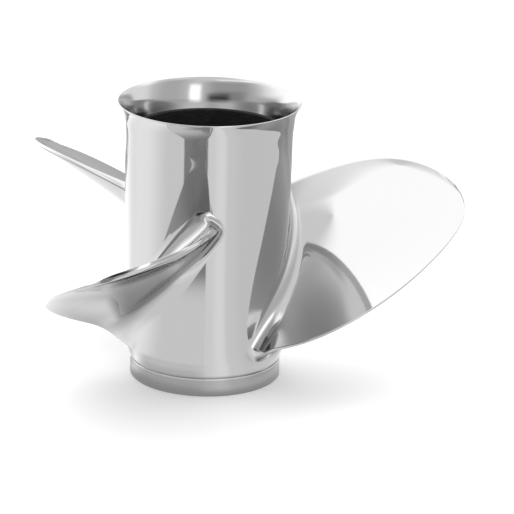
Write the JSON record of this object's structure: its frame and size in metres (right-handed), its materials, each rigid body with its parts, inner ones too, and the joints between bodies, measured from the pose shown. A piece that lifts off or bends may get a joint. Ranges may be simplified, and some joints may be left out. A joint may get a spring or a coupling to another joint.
{
  "type": "outboard motor propeller with through-hub exhaust barrel",
  "caption": "Polished stainless boat propeller: broad cupped raked blades on a tall hollow exhaust barrel with a flared aft lip, inner hub, rubber bushing and splined sleeve.",
  "frame": {"origin": "on the shaft axis, at the centre of the front collar's bottom face, the face that the part stands on", "axes": "+Z along the shaft axis, from the front collar (gearcase end) to the flared aft lip; +X and +Y square to the shaft, with the pictured side towards -Y; one blade's tip lies near +X"},
  "size_m": [0.3157, 0.3298, 0.2028],
  "materials": {
    "polished_stainless": "mirror polished cast stainless steel",
    "turned_stainless": "fine turned stainless steel",
    "cast_stainless": "rough cast steel, dark",
    "black_rubber": "matt moulded rubber",
    "brass": "machined brass"
  },
  "bodies": {
    "root": {"front_collar": "turned_stainless", "barrel": "polished_stainless", "flared_ring": "polished_stainless", "blade_1": "polished_stainless", "blade_2": "polished_stainless", "blade_3": "polished_stainless", "rib_1": "cast_stainless", "rib_2": "cast_stainless", "rib_3": "cast_stainless", "inner_hub": "cast_stainless", "rubber_bushing": "black_rubber", "spline_sleeve": "brass"}
  },
  "joints": []
}
